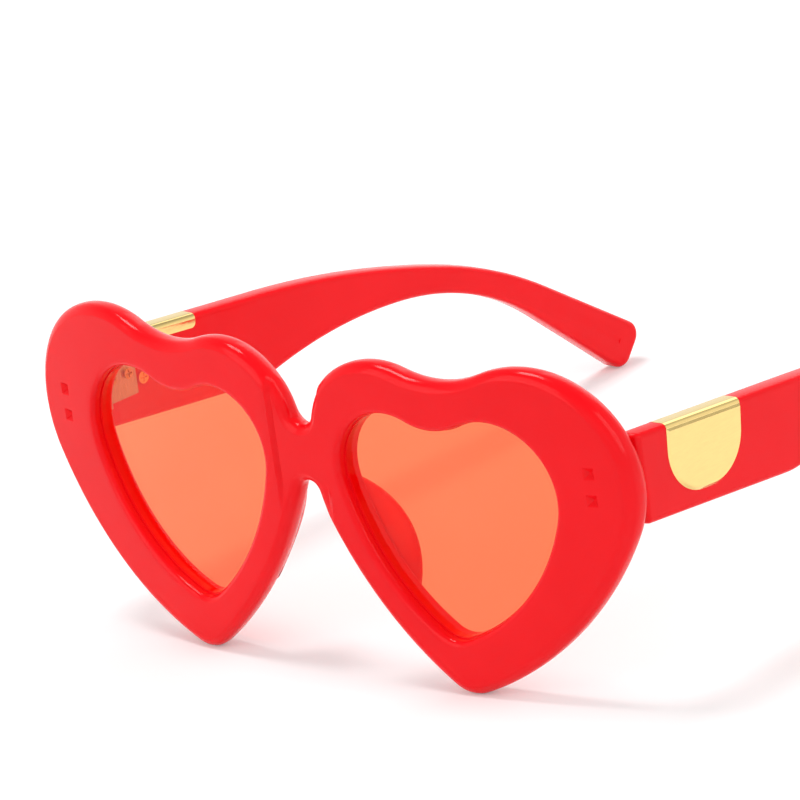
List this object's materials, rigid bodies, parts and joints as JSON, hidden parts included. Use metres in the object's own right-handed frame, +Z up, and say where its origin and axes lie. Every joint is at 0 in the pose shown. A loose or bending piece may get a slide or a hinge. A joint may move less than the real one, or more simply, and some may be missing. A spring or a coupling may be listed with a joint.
{
  "type": "heart-shaped sunglasses",
  "caption": "Sunglasses with a thick glossy front shaped as two hearts, tinted heart-shaped lenses, wide folding temples on hinges and a folded metal trim on each temple.",
  "frame": {"origin": "on the floor under the middle of the open glasses' footprint", "axes": "+X to the wearer's left, +Y backwards along the temples, +Z up; the front faces -Y"},
  "size_m": [0.1486, 0.1588, 0.064],
  "materials": {
    "red_plastic": "polished, slightly translucent",
    "nose_pad": "polished, slightly translucent",
    "tinted_lens": "clear orange tint",
    "gold_trim": "polished",
    "hinge_metal": "satin",
    "screw_metal": "satin"
  },
  "bodies": {
    "front": {"front_frame": "red_plastic", "lens_left": "tinted_lens", "nose_pad_left": "nose_pad", "hinge_front_leaf_left": "hinge_metal", "front_leaf_screw_lower_left": "screw_metal", "front_leaf_screw_upper_left": "screw_metal", "hinge_screw_left": "screw_metal", "lens_right": "tinted_lens", "nose_pad_right": "nose_pad", "hinge_front_leaf_right": "hinge_metal", "front_leaf_screw_lower_right": "screw_metal", "front_leaf_screw_upper_right": "screw_metal", "hinge_screw_right": "screw_metal"},
    "left_temple": {"temple_left": "red_plastic", "hinge_temple_leaf_left": "hinge_metal", "temple_leaf_screw_front_left": "screw_metal", "temple_leaf_screw_rear_left": "screw_metal", "temple_trim_left": "gold_trim", "trim_screw_left": "gold_trim"},
    "right_temple": {"temple_right": "red_plastic", "hinge_temple_leaf_right": "hinge_metal", "temple_leaf_screw_front_right": "screw_metal", "temple_leaf_screw_rear_right": "screw_metal", "temple_trim_right": "gold_trim", "trim_screw_right": "gold_trim"}
  },
  "joints": [
    {"name": "left_hinge", "type": "hinge", "parent": "front", "child": "left_temple", "pos_m": [0.0646, -0.06395, 0.04314], "axis": [0, 0, 1], "range_deg": [0, 90]},
    {"name": "right_hinge", "type": "hinge", "parent": "front", "child": "right_temple", "pos_m": [-0.0646, -0.06395, 0.04314], "axis": [0, 0, -1], "range_deg": [0, 80]}
  ]
}
